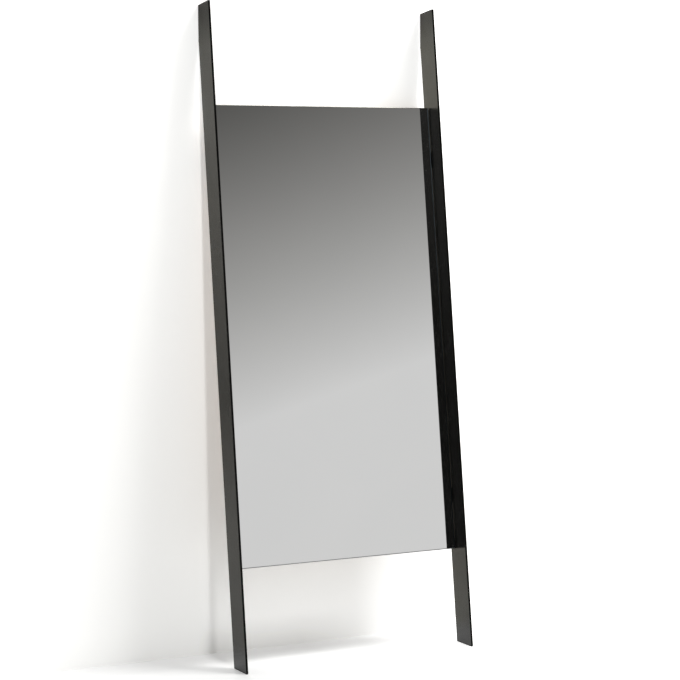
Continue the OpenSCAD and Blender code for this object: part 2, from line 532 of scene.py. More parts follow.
@dataclass(frozen=True, kw_only=True)
class CoatedSteel(Finish):
    """Satin powder coat over flat bar, whose rolling streaks show through faintly.

    Attributes:
        dark: the colour between the streaks.
        light: the colour on them.
        sheen: the roughness where it is smoothest.
        dull: the roughness where it is dullest.
        streak: the width of a streak, in metres.
        pebble: the size of the coat's pebbles, in metres.
        relief: the height of the pebbles, in metres.
        cloud: the size of the cloudy marks, in metres.
        across: whether the bar lies across the mirror, and its streaks with it.
    """

    dark: Colour = (0.0062, 0.0062, 0.0057)
    light: Colour = (0.0128, 0.0128, 0.0120)
    sheen: float = 0.17
    dull: float = 0.30
    streak: float = 3.0 * MM
    pebble: float = 0.9 * MM
    relief: float = 0.02 * MM
    cloud: float = 120.0 * MM
    across: bool = False

    def paint(self, look: Look) -> None:
        """Draws the coat."""
        skin = look.effect(PEEL, self.pebble)
        marks = look.effect(HANDLING, self.cloud)["Mask"]
        along = look.where
        if self.across:
            x, y, z = look.axes(along)
            along = look.node("ShaderNodeCombineXYZ", {"X": z, "Y": y, "Z": x}).outputs["Vector"]
        streaks = look.effect(STREAKS, self.streak, along)["Mask"]
        uneven = look.mix(look.mix(streaks, 0.35, 0.65), marks, skin["Speck"])
        look.surface(look.blend(streaks, self.dark, self.light),
                     look.spread(uneven, self.sheen, self.dull, 0.1, 0.9))
        look.bump(skin["Height"], self.relief, 0.35)


@dataclass(frozen=True, kw_only=True)
class SilveredFinish(Finish):
    """The face of the mirror, with the faintest haze where it was wiped.

    Attributes:
        clear: the colour of the reflection.
        hazed: the colour of the reflection in the haze.
        polish: the roughness where it is clear.
        haze: the roughness in the haze.
        cloud: the size of the wiped patches, in metres.
    """

    clear: Colour = (0.932, 0.932, 0.926)
    hazed: Colour = (0.918, 0.92, 0.915)
    polish: float = 0.0
    haze: float = 0.012
    cloud: float = 300.0 * MM

    def paint(self, look: Look) -> None:
        """Draws the reflecting face."""
        wiped = look.effect(HANDLING, self.cloud)["Mask"]
        look.surface(look.blend(wiped, self.clear, self.hazed),
                     look.spread(wiped, self.polish, self.haze, 0.0, 1.0))


@dataclass(frozen=True, kw_only=True)
class GroundFinish(Finish):
    """A ground and polished edge of glass, with fine grinding lines along it, lighter in uneven
    patches and with painted light from the top where lit sets it.

    Attributes:
        deep: the colour in the depth of the glass.
        bright: the lighter colour, of the patches and of the painted light.
        polish: the roughness between the lines.
        ground: the roughness on the lines.
        pitch: the distance between grinding lines, in metres.
        patch: the size of its uneven patches, in metres.
        lit: the heights at which the painted light from the top has faded, and at which it is
            full.
    """

    deep: Colour = (0.02, 0.05, 0.048)
    bright: Colour = (0.10, 0.19, 0.19)
    polish: float = 0.08
    ground: float = 0.3
    pitch: float = 0.6 * MM
    patch: float = 40.0 * MM
    lit: Point2 = (-1.0, 0.0)

    def paint(self, look: Look) -> None:
        """Draws the edge."""
        lines = look.noise(look.where, 1 / self.pitch, 3.0, 0.7)
        patches = look.effect(HANDLING, self.patch)["Mask"]
        # painted light: lighter above the lit heights, broken up by the uneven patches
        glow = look.product(look.spread(look.axes(look.where)[2], 0.0, 1.0, *self.lit),
                            look.spread(patches, 0.6, 1.0, 0.0, 1.0))
        look.surface(look.blend(glow, self.deep, self.bright),
                     look.spread(lines, self.polish, self.ground))
        look.bump(lines, 0.02 * MM, 0.4)


@dataclass(frozen=True, kw_only=True)
class FibreboardFinish(Finish):
    """Sealed brown fibreboard: fine fibres, darker specks and a faint cloudiness.

    Attributes:
        pale: the colour of the pale fibres.
        deep: the colour of the dark fibres.
        speck: the colour of the specks.
        fibre: the size of a fibre, in metres.
        cloud: the size of the cloudy marks, in metres.
    """

    pale: Colour = (0.30, 0.215, 0.145)
    deep: Colour = (0.215, 0.150, 0.097)
    speck: Colour = (0.11, 0.075, 0.046)
    fibre: float = 1.4 * MM
    cloud: float = 180.0 * MM

    def paint(self, look: Look) -> None:
        """Draws the board."""
        fibres = look.noise(look.where, 1 / self.fibre, 5.0, 0.72)
        marks = look.effect(HANDLING, self.cloud)["Mask"]
        pale = look.total(look.spread(fibres, 0.0, 0.75), look.product(marks, 0.25))
        specks = look.spread(look.noise(look.where, 0.45 / self.fibre), 0.0, 0.8, 0.66, 0.74)
        look.surface(look.blend(specks, look.blend(pale, self.deep, self.pale), self.speck),
                     look.spread(fibres, 0.62, 0.46))
        look.bump(fibres, 0.05 * MM, 0.5)


@dataclass(frozen=True, kw_only=True)
class BrushedFinish(Finish):
    """Satin metal, brushed across the mirror.

    Attributes:
        dark: the colour in the grooves.
        light: the colour between them.
        bright: the roughness between the grooves.
        dull: the roughness in them.
        pitch: the distance between grooves, in metres.
    """

    dark: Colour = (0.90, 0.905, 0.90)
    light: Colour = (0.95, 0.955, 0.95)
    bright: float = 0.12
    dull: float = 0.24
    pitch: float = 0.5 * MM

    def paint(self, look: Look) -> None:
        """Draws the brushed metal."""
        lines = look.noise(look.scaled(look.where, (0.01, 1, 1)), 1 / self.pitch, 3.0, 0.6)
        look.surface(look.blend(look.spread(lines, 0.0, 1.0), self.dark, self.light),
                     look.spread(lines, self.dull, self.bright))
        look.bump(lines, 0.01 * MM, 0.4)


@dataclass(frozen=True, kw_only=True)
class PlatedFinish(Finish):
    """Zinc or black plating on a screw, cloudy from the bath.

    Attributes:
        warm: the colour of one kind of cloud.
        cool: the colour of the other.
        bright: the roughness of the clear parts.
        cloudy: the roughness of the clouds.
        cloud: the size of the clouds, in metres.
    """

    warm: Colour = (0.62, 0.60, 0.54)
    cool: Colour = (0.50, 0.53, 0.57)
    bright: float = 0.22
    cloudy: float = 0.42
    cloud: float = 6.0 * MM

    def paint(self, look: Look) -> None:
        """Draws the plating."""
        clouds = look.effect(HANDLING, self.cloud)["Mask"]
        look.surface(look.blend(clouds, self.warm, self.cool),
                     look.spread(clouds, self.bright, self.cloudy, 0.0, 1.0))
        look.bump(look.effect(PEEL, 0.4 * MM)["Height"], 0.01 * MM, 0.5)


class Coat(Enum):
    """Every finish of the mirror."""

    STEEL = CoatedSteel("powder_coat", specular=0.31)
    RAIL = CoatedSteel("rail_powder_coat", specular=0.31, across=True)
    # painted shade: a darker, duller copy of the powder coat on the plates' narrow faces and
    # rounded edges, so that the front edges look near black
    EDGE = CoatedSteel(
        "thin_powder_coat", specular=0.06, dark=(0.0016, 0.0016, 0.0014),
        light=(0.0045, 0.0045, 0.0040), sheen=0.34, dull=0.48)
    ALUMINIUM = BrushedFinish("satin_aluminium", metallic=1.0)
    MILL = BrushedFinish("mill_aluminium", metallic=1.0, dark=(0.47, 0.475, 0.48),
                         light=(0.58, 0.585, 0.59), bright=0.28, dull=0.42)
    SILVER = SilveredFinish("silvered_glass", metallic=1.0)
    # glass_rim: where the ground edge shows through at the sides, with a painted highlight that
    # is full at the top and fades downwards
    RIM = GroundFinish(
        "glass_rim", ior=1.52, specular=0.08, deep=(0.006, 0.008, 0.009),
        bright=(0.10, 0.12, 0.135), polish=0.05, ground=0.1, lit=(0.75, 1.65))
    ARRIS = GroundFinish("polished_arris", metallic=1.0, deep=(0.90, 0.93, 0.93),
                         bright=(0.94, 0.96, 0.96), polish=0.08, ground=0.2)
    GROUND = GroundFinish("ground_edge", ior=1.52)
    BACK_PAINT = SkinnedFinish(
        "mirror_back_paint", dark=(0.10, 0.115, 0.11), light=(0.13, 0.145, 0.14),
        sheen=0.5, dull=0.62, pebble=1.6 * MM, relief=0.02 * MM, cloud=100 * MM)
    BOARD = FibreboardFinish("sealed_fibreboard")
    FOAM = SkinnedFinish(
        "foam_tape", dark=(0.62, 0.61, 0.57), light=(0.76, 0.75, 0.71),
        sheen=0.8, dull=0.95, pebble=0.35 * MM, relief=0.05 * MM, cloud=20 * MM)
    ADHESIVE = SkinnedFinish(
        "cured_adhesive", dark=(0.50, 0.49, 0.44), light=(0.60, 0.59, 0.54),
        sheen=0.3, dull=0.42, pebble=4 * MM, relief=0.1 * MM, cloud=30 * MM)
    ZINC = PlatedFinish("zinc_plating", metallic=1.0)
    BLACK_BOLT = PlatedFinish("black_plating", metallic=0.7, warm=(0.05, 0.048, 0.045),
                              cool=(0.028, 0.029, 0.032), bright=0.3, cloudy=0.45)
    RUBBER = SkinnedFinish(
        "matt_rubber", dark=(0.012, 0.012, 0.012), light=(0.022, 0.022, 0.021),
        sheen=0.72, dull=0.9, pebble=0.5 * MM, relief=0.04 * MM, cloud=20 * MM)

    @cached_property
    def material(self) -> Material:
        """The material, built when it is first asked for."""
        return self.value.build()


# Mesh helpers


def make_object(name: str, bm: BMesh, finishes: list[Material], smooth: bool = True) -> Object:
    """Turns mesh data into an object at the origin.

    Args:
        name: the object's name.
        bm: the mesh data, freed here.
        finishes: the materials, in the order of the faces' material numbers.
        smooth: whether the faces are shaded smooth.

    Returns:
        The new object, linked to the scene.
    """
    mesh = bpy.data.meshes.new(name)
    bm.to_mesh(mesh)
    bm.free()
    for finish in finishes:
        mesh.materials.append(finish)
    mesh.polygons.foreach_set("use_smooth", [smooth] * len(mesh.polygons))
    obj = bpy.data.objects.new(name, mesh)
    bpy.context.scene.collection.objects.link(obj)
    return obj


def settle(obj: Object) -> Object:
    """Turns an object's modifiers into plain mesh.

    Args:
        obj: the object, whose modifiers are then removed.

    Returns:
        The same object.
    """
    bpy.context.view_layer.update()
    depsgraph = bpy.context.evaluated_depsgraph_get()
    mesh = bpy.data.meshes.new_from_object(
        obj.evaluated_get(depsgraph), preserve_all_data_layers=True, depsgraph=depsgraph)
    mesh.name = obj.name
    obj.modifiers.clear()
    obj.data = mesh
    return obj


def soften(obj: Object, width: float, segments: int = 3, slot: int = -1) -> Object:
    """Rounds the sharp edges of an object and settles it.

    Args:
        obj: the object.
        width: the width of the rounded edge, in metres.
        segments: the number of faces across it.
        slot: the material slot of the rounded edge, or -1 for its neighbours'.

    Returns:
        The same object.
    """
    bevel = obj.modifiers.new("edges", "BEVEL")
    for key, value in (("material", slot), ("width", width), ("segments", segments),
                       ("limit_method", "ANGLE"), ("angle_limit", math.radians(30)),
                       ("harden_normals", True)):
        setattr(bevel, key, value)
    return settle(obj)


def prism(bm: BMesh, outline: list[Vector], way: Vector) -> None:
    """Adds a closed prism to a mesh.

    Args:
        bm: the mesh data.
        outline: the corners of one end, in order.
        way: from that end to the other.
    """
    near, far = ([bm.verts.new(p + move) for p in outline] for move in (Vector(), way))
    bm.faces.new(near)
    bm.faces.new(far[::-1])
    for i in range(len(outline)):
        bm.faces.new([near[i], near[i - 1], far[i - 1], far[i]])
    bmesh.ops.recalc_face_normals(bm, faces=bm.faces)


def dress(node: str, coat: Coat, front: Coat | None = None) -> None:
    """Gives a CAD node its finish.

    Args:
        node: the CAD node's name.
        coat: the finish.
        front: the finish of the faces that look to the front, where it is another one.
    """
    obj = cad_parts[node]
    obj.data.materials.clear()
    obj.data.materials.append(coat.material)
    if front:
        obj.data.materials.append(front.material)
        ahead = (LEAN.matrix.to_3x3() @ Vector((0, -1, 0))).normalized()
        turn = obj.matrix_world.to_3x3()
        for face in obj.data.polygons:
            face.material_index = int((turn @ face.normal).normalized().dot(ahead) > FACING)
    LOG.info("dressed %s in %s", node, coat.material.name)


def stand_for(obj: Object, slot: str, *nodes: str) -> None:
    """Puts a finished piece in the place of CAD nodes.

    Args:
        obj: the piece, already in place.
        slot: the record's material slot; not used.
        nodes: the CAD nodes that it replaces, or none.
    """
    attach(obj, BODY)
    if nodes:
        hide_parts(*nodes)
    LOG.info("built %s: %d faces", obj.name, len(obj.data.polygons))


# Pieces


@dataclass
class SidePlate:
    """One flat steel side plate, with its level foot, square top and upright wall flat.

    Attributes:
        side: which plate it is.
        corner_r: the rounding of the two top corners.
        edge_r: the rounding of all its other edges.
    """

    side: Side
    corner_r: float = 1.5 * MM
    edge_r: float = 0.6 * MM

    @property
    def node(self) -> str:
        """The CAD node's name."""
        return f"{self.side.label}_side_plate"

    def outline(self) -> list[Point2]:
        """Works out the plate's outline from the frame.

        Returns:
            Its corners as depth and length: foot front, top front, top of the flat, foot of the
            flat and foot back.
        """
        low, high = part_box(self.node)
        extent = LEAN.extent(self.node)
        depth, top = extent.high.y, extent.high.z
        sin, cos = math.sin(LEAN.angle), math.cos(LEAN.angle)
        flat_low = (high.y - LEAN.foot_y - depth * cos) / sin
        flat_depth = depth - (top - flat_low) * sin / cos
        foot = low.z / cos
        return [(0.0, foot), (0.0, top), (flat_depth, top), (depth, flat_low),
                (depth, foot + depth * sin / cos)]

    def runs_through(self, edge: bmesh.types.BMEdge, corners: list[Point2]) -> bool:
        """Says whether an edge of the upright prism runs through the plate at a corner.

        Args:
            edge: the edge.
            corners: the corners, as depth and length.

        Returns:
            True for such an edge.
        """
        a, b = (Vector(v.co.yz) for v in edge.verts)
        return (a - b).length < CLOSE and any((a - Vector(c)).length < CLOSE for c in corners)

    def build(self) -> None:
        """Builds the plate and puts it in place of its node."""
        extent = LEAN.extent(self.node)
        corners = self.outline()
        bm = bmesh.new()
        prism(bm, [Vector((extent.low.x, y, z)) for y, z in corners],
              Vector((extent.size.x, 0, 0)))
        bmesh.ops.bevel(bm, geom=[e for e in bm.edges if self.runs_through(e, corners[1:3])],
                        offset=self.corner_r, segments=5, profile=0.5, affect="EDGES")
        for face in bm.faces:
            face.normal_update()
            # the narrow faces, and below them the rounded edges, take the painted-shade copy of
            # the coat
            face.material_index = 0 if abs(face.normal.x) > FACING else 1
        bm.transform(LEAN.matrix)
        obj = make_object(f"{self.node}_finished", bm, [Coat.STEEL.material, Coat.EDGE.material])
        stand_for(soften(obj, self.edge_r, slot=1), "black_steel", self.node)


@dataclass
class MirrorGlass:
    """The frameless mirror: silvered face, clear rim, ground edges and a painted back.

    Attributes:
        node: the CAD node's name.
        ease: the width of the bevel around both faces.
        side_rim: the width of the strip at each side in which the ground edge shows through,
            under painted light that fades downwards.
    """

    node: str = "mirror_glass"
    ease: float = 1.0 * MM
    side_rim: float = 2.4 * MM

    def section(self, extent: Extent, depth: float, inset: float) -> list[Vector]:
        """Gives the four corners of a section through the glass.

        Args:
            extent: the glass's box.
            depth: the section's depth behind the face.
            inset: how far it lies inside the outline.

        Returns:
            The corners: bottom left, bottom right, top right and top left.
        """
        left, right = extent.low.x + inset, extent.high.x - inset
        low, high = extent.low.z + inset, extent.high.z - inset
        return [Vector((x, extent.low.y + depth, z)) for x, z in (
            (left, low), (right, low), (right, high), (left, high))]

    def build(self) -> None:
        """Builds the glass and puts it in place of its node."""
        extent = LEAN.extent(self.node)
        thick, ease = extent.size.y, self.ease
        coats = [Coat.SILVER, Coat.RIM, Coat.ARRIS, Coat.GROUND, Coat.BACK_PAINT]
        silver, rim, arris, ground, paint = range(len(coats))
        bm = bmesh.new()
        rings = [[bm.verts.new(p) for p in self.section(extent, *place)] for place in (
            (0.0, ease), (ease, 0.0), (thick - ease, 0.0), (thick, ease))]
        front = rings[0]
        left, right = ([bm.verts.new(front[i].co + Vector((way * self.side_rim, 0, 0)))
                        for i in corners] for way, corners in ((1, (0, 3)), (-1, (1, 2))))
        for face, coat in (
                ([left[0], right[0], right[1], left[1]], silver),
                ([front[0], left[0], left[1], front[3]], rim),
                ([right[0], front[1], front[2], right[1]], rim),
                (rings[3][::-1], paint)):
            bm.faces.new(face).material_index = coat
        between = {0: left[:1] + right[:1], 2: [right[1], left[1]]}
        for depth, (near, far) in enumerate(zip(rings, rings[1:])):
            for i in range(4):
                j = (i + 1) % 4
                extra = between.get(i, []) if depth == 0 else []
                strip = bm.faces.new([near[i], *extra, near[j], far[j], far[i]])
                strip.material_index = ground if depth == 1 else rim if i % 2 else arris
        bmesh.ops.recalc_face_normals(bm, faces=bm.faces)
        bm.transform(LEAN.matrix)
        obj = make_object("mirror_glass_finished", bm, [c.material for c in coats], False)
        stand_for(obj, "mirror_glass", self.node)


class Backing:
    """The board behind the glass, what bonds them, and the ledge with its pads."""

    def build(self) -> None:
        """Dresses the backing's nodes."""
        dress("backing_board", Coat.BOARD)
        dress("mirror_tape", Coat.FOAM)
        dress("mirror_adhesive", Coat.ADHESIVE)
        dress("glass_ledge", Coat.MILL, Coat.ALUMINIUM)
        dress("setting_pads", Coat.RUBBER)


@dataclass
class RibbedPad:
    """A rubber strip with cross grooves on the side that grips.

    Attributes:
        side: which plate it is on.
        end: "foot" or "wall".
        pitch: the distance between grooves.
        groove: the width of a groove.
        depth: the depth of a groove.
        edge_r: the rounding of its edges.
    """

    side: Side
    end: str
    pitch: float = 4.0 * MM
    groove: float = 1.2 * MM
    depth: float = 0.5 * MM
    edge_r: float = 0.15 * MM

    def comb(self, length: float, thick: float) -> list[Point2]:
        """Works out the strip's side view, with its grooves along one edge.

        Args:
            length: the strip's length.
            thick: its thickness.

        Returns:
            The corners as distance along the strip and height above the gripping side.
        """
        count = int((length - self.pitch) // self.pitch)
        first = (length - (count - 1) * self.pitch - self.groove) / 2
        points = [(0.0, thick), (0.0, 0.0)]
        for i in range(count):
            start = first + i * self.pitch
            end = start + self.groove
            points += [(start, 0.0), (start, self.depth), (end, self.depth), (end, 0.0)]
        return points + [(length, 0.0), (length, thick)]

    def build(self) -> None:
        """Builds the pad and puts it in place of its node."""
        node = f"{self.side.label}_{self.end}_pad"
        low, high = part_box(node)
        size = high - low
        if self.end == "foot":
            places = [(low.y + a, low.z + b) for a, b in self.comb(size.y, size.z)]
        else:
            places = [(high.y - b, low.z + a) for a, b in self.comb(size.z, size.y)]
        bm = bmesh.new()
        prism(bm, [Vector((low.x, y, z)) for y, z in places], Vector((size.x, 0, 0)))
        obj = make_object(f"{node}_ribbed", bm, [Coat.RUBBER.material])
        stand_for(soften(obj, self.edge_r, 2), "rubber", node)


class RailsAndBrackets:
    """The two cross rails and the four brackets that tie them to the plates."""

    def build(self) -> None:
        """Dresses the rails and brackets."""
        for level in Level:
            dress(f"{level.value}_cross_rail", Coat.RAIL)
            for side in Side:
                dress(f"{side.label}_{level.value}_bracket", Coat.STEEL)


# What repeats


def new_geometry(name: str, inputs: dict[str, tuple[str, object]]
                 ) -> tuple[Shader, bpy.types.NodeOutputs]:
    """Starts a Geometry Nodes tree whose seed and finish are among its named inputs.

    Args:
        name: its name.
        inputs: its other inputs, with their kinds of socket and usual values.

    Returns:
        Its builder, and the sockets of its inputs.
    """
    return new_tree(name, "GeometryNodeTree", {
        "Geometry": ("Geometry", None), **inputs, "Seed": ("Int", 0),
        "Finish": ("Material", None)}, {"Geometry": "Geometry"})


def end_geometry(tree: Shader, into: bpy.types.NodeOutputs, pieces: dict[str, Socket]) -> Tree:
    """Ends a Geometry Nodes tree: sets a piece on every point, and gives all their finish.

    Args:
        tree: its builder.
        into: the sockets of its inputs.
        pieces: what Instance on Points takes.

    Returns:
        The tree.
    """
    placed = tree.node("GeometryNodeInstanceOnPoints", pieces)
    real = tree.node("GeometryNodeRealizeInstances", {"Geometry": placed.outputs["Instances"]})
    dressed = tree.node("GeometryNodeSetMaterial", {
        "Geometry": real.outputs["Geometry"], "Material": into["Finish"]})
    tree.node("NodeGroupOutput", {"Geometry": dressed.outputs["Geometry"]})
    return tree.tree


def run_tree(obj: Object, tree: Tree, values: dict[str, object]) -> None:
    """Runs a Geometry Nodes tree on an object and keeps the plain mesh.

    Args:
        obj: the object that carries the places.
        tree: the tree.
        values: the values of its named inputs.
    """
    modifier = obj.modifiers.new(tree.name, "NODES")
    modifier.node_group = tree
    for item in tree.interface.items_tree:
        if item.in_out == "INPUT" and item.name in values:
            modifier[item.identifier] = values[item.name]
    settle(obj)


def build_fastener_tree() -> Tree:
    """Makes the tree that sets a fastener on every point, each turned at random.

    Returns:
        The tree.
    """
    tree, into = new_geometry("fasteners_on_points", {
        "Fastener": ("Object", None), "Tilt": ("Float", 0.0)})
    pattern = tree.node("GeometryNodeObjectInfo", {
        "Object": into["Fastener"], "As Instance": True})
    turn = tree.node("FunctionNodeRandomValue", {"Max": 2 * math.pi, "Seed": into["Seed"]},
                     data_type="FLOAT")
    spin, tilt = (tree.node("FunctionNodeEulerToRotation", {"Euler": tree.node(
        "ShaderNodeCombineXYZ", {axis: angle}).outputs["Vector"]}).outputs["Rotation"]
        for axis, angle in (("Z", turn.outputs["Value"]), ("X", into["Tilt"])))
    turned = tree.node("FunctionNodeRotateRotation", {"Rotation": tilt, "Rotate By": spin},
                       rotation_space="LOCAL")
    return end_geometry(tree, into, {
        "Points": into["Geometry"], "Instance": pattern.outputs["Geometry"],
        "Rotation": turned.outputs["Rotation"]})


def build_weld_tree() -> Tree:
    """Makes the tree that lays a row of overlapping ripples along every edge.

    Returns:
        The tree.
    """
    tree, into = new_geometry("weld_ripples", {
        "Pitch": ("Float", 1.0 * MM), "Radius": ("Float", 1.5 * MM)})
    line = tree.node("GeometryNodeMeshToCurve", {"Mesh": into["Geometry"]})
    steps = tree.node("GeometryNodeResampleCurve", {
        "Curve": line.outputs["Curve"], "Length": into["Pitch"]}, mode="LENGTH")
    ripple = tree.node("GeometryNodeMeshUVSphere", {
        "Segments": 10, "Rings": 6, "Radius": into["Radius"]})
    smooth = tree.node("GeometryNodeSetShadeSmooth", {"Geometry": ripple.outputs["Mesh"]})
    size = tree.node("FunctionNodeRandomValue", {
        "Min": 0.88, "Max": 1.08, "Seed": into["Seed"]}, data_type="FLOAT")
    return end_geometry(tree, into, {
        "Points": steps.outputs["Curve"], "Instance": smooth.outputs["Geometry"],
        "Scale": size.outputs["Value"]})


class Drive(Enum):
    """How a fastener is turned."""

    CROSS = "cross"
    HEX = "hex"


@dataclass
class Fastener:
    """A round-headed screw or bolt, drawn with its head above z = 0.

    Attributes:
        shank_d: the diameter of the shank.
        head_d: the diameter of the head.
        head_h: the height of the head.
        length: the length of the shank.
        drive: how it is turned.
        brim: the height of the head's upright edge, as a share of the head's.
        dome_steps: the number of faces from the top of the head to its edge.
        steps: the number of faces around it.
        hex_r: the radius of a hexagon's corners, as a share of the shank's diameter.
        cross: half the length and half the width of a cross's arms, as the same share.
        root: how far the corners between the arms lie out, as a share of half their width.
        taper: how much narrower the cross is at its floor.
    """

    shank_d: float
    head_d: float
    head_h: float
    length: float
    drive: Drive
    brim: float = 0.15
    dome_steps: int = 8
    steps: int = 32
    hex_r: float = 0.385
    cross: Point2 = (0.58, 0.13)
    root: float = 1.6
    taper: float = 0.62

    def profile(self) -> list[Point2]:
        """Works out half of the fastener's outline.

        Returns:
            Points as radius and height, from the top of the head to the tip.
        """
        r, h = self.head_d / 2, self.head_h
        brim = self.brim * h
        dome_r = (r * r + (h - brim) ** 2) / (2 * (h - brim))
        arc = math.asin(r / dome_r) / self.dome_steps
        dome = [(dome_r * math.sin(arc * i), h - dome_r * (1 - math.cos(arc * i)))
                for i in range(self.dome_steps + 1)]
        shank = self.shank_d / 2
        return dome + [
            (r, 0.3 * brim), (r - 0.3 * brim, 0.0), (shank, 0.0), (shank, shank - self.length),
            (0.3 * shank, -self.length), (0.0, -self.length)]

    def cutter(self) -> BMesh:
        """Builds the shape of the tool that turns it.

        Returns:
            The mesh data of a hexagon or a tapering cross, standing in the head.
        """
        bm = bmesh.new()
        floor, top = self.head_h * 0.3, self.head_h * 1.5
        if self.drive is Drive.HEX:
            r = self.shank_d * self.hex_r
            outline = [(r * math.cos(math.radians(60 * i)), r * math.sin(math.radians(60 * i)))
                       for i in range(6)]
        else:
            long, wide = (self.shank_d * share for share in self.cross)
            quarter = [(long, wide), (wide * self.root, wide * self.root), (wide, long)]
            outline = []
            for _ in range(4):
                outline += quarter
                quarter = [(-y, x) for x, y in quarter]
        prism(bm, [Vector((x, y, floor)) for x, y in outline], Vector((0, 0, top - floor)))
        if self.drive is Drive.CROSS:
            for vert in bm.verts:
                if vert.co.z < (top + floor) / 2:
                    vert.co.xy *= self.taper
        return bm

    def build(self, name: str, finish: Material) -> Object:
        """Builds one fastener at the origin.

        Args:
            name: its name.
            finish: its material.

        Returns:
            The fastener.
        """
        bm = bmesh.new()
        verts = [bm.verts.new((r, 0, z)) for r, z in self.profile()]
        edges = [bm.edges.new(pair) for pair in zip(verts, verts[1:])]
        bmesh.ops.spin(bm, geom=verts + edges, cent=(0, 0, 0), axis=(0, 0, 1),
                       angle=2 * math.pi, steps=self.steps)
        bmesh.ops.remove_doubles(bm, verts=bm.verts, dist=0.001 * MM)
        bmesh.ops.recalc_face_normals(bm, faces=bm.faces)
        body = make_object(name, bm, [finish])
        tool = make_object(f"{name}_tool", self.cutter(), [finish])
        cut = body.modifiers.new("drive", "BOOLEAN")
        cut.object, cut.operation, cut.solver = tool, "DIFFERENCE", "EXACT"
        settle(body)
        bpy.data.objects.remove(tool)
        body.data.set_sharp_from_angle(angle=math.radians(35))
        return body


@dataclass
class FastenerSet:
    """All the screws or bolts of one CAD node.

    Attributes:
        node: the CAD node's name.
        coat: their finish.
        slot: the record's material slot.
        drive: how they are turned.
        seat: the CAD node on whose back their heads sit.
        shank_d: the diameter of their shanks.
        seed: the seed of their random turns.
    """

    node: str
    coat: Coat
    slot: str
    drive: Drive
    seat: str
    shank_d: float
    seed: int

    def build(self, tree: Tree) -> None:
        """Builds the fasteners with a placing tree and puts them in place of their node.

        Args:
            tree: the Geometry Nodes tree that places them.
        """
        seat = LEAN.extent(self.seat).high.y
        islands = LEAN.islands(self.node)
        first = islands[0]
        one = Fastener(
            shank_d=self.shank_d, head_d=first.size.x, head_h=first.high.y - seat,
            length=seat - first.low.y, drive=self.drive
        ).build(f"{self.node}_pattern", self.coat.material)
        bm = bmesh.new()
        for island in islands:
            bm.verts.new(LEAN.matrix @ Vector((island.centre.x, seat, island.centre.z)))
        obj = make_object(f"{self.node}_turned", bm, [self.coat.material])
        run_tree(obj, tree, {
            "Fastener": one, "Tilt": -math.pi / 2 - LEAN.angle, "Seed": self.seed,
            "Finish": self.coat.material})
        bpy.data.objects.remove(one)
        stand_for(obj, self.slot, self.node)


@dataclass
class Welds:
    """The short weld beads above and below each bracket's welded leg.

    Attributes:
        bead: the leg of the weld, as the CAD has it.
        sunk: how far the ripples' middles lie from plate and leg, as shares of the bead.
        fold: the length of the leg's fold, which the weld stops short of.
        radius: the radius of a ripple.
        pitch: the distance between ripples.
        seed: the seed of the ripples' sizes.
    """

    bead: float = 2.5 * MM
    sunk: Point2 = (0.42, 0.58)
    fold: float = 4.5 * MM
    radius: float = 1.45 * MM
    pitch: float = 1.0 * MM
    seed: int = 5

    def build(self) -> None:
        """Lays the ripples over the plain beads."""
        bm = bmesh.new()
        out, over = (self.bead * share for share in self.sunk)
        for side in Side:
            for level in Level:
                extent = LEAN.extent(f"{side.label}_{level.value}_bracket")
                wall = extent.low.x if side is Side.LEFT else extent.high.x
                ends = extent.low.y + self.radius, extent.high.y - self.fold
                for z in (extent.low.z + over, extent.high.z - over):
                    bm.edges.new([bm.verts.new((wall - side.value * out, y, z)) for y in ends])
        bm.transform(LEAN.matrix)
        finish = Coat.STEEL.material
        obj = make_object("bracket_welds", bm, [finish])
        run_tree(obj, build_weld_tree(), {
            "Pitch": self.pitch, "Radius": self.radius, "Seed": self.seed, "Finish": finish})
        stand_for(obj, "black_steel")


# Studio


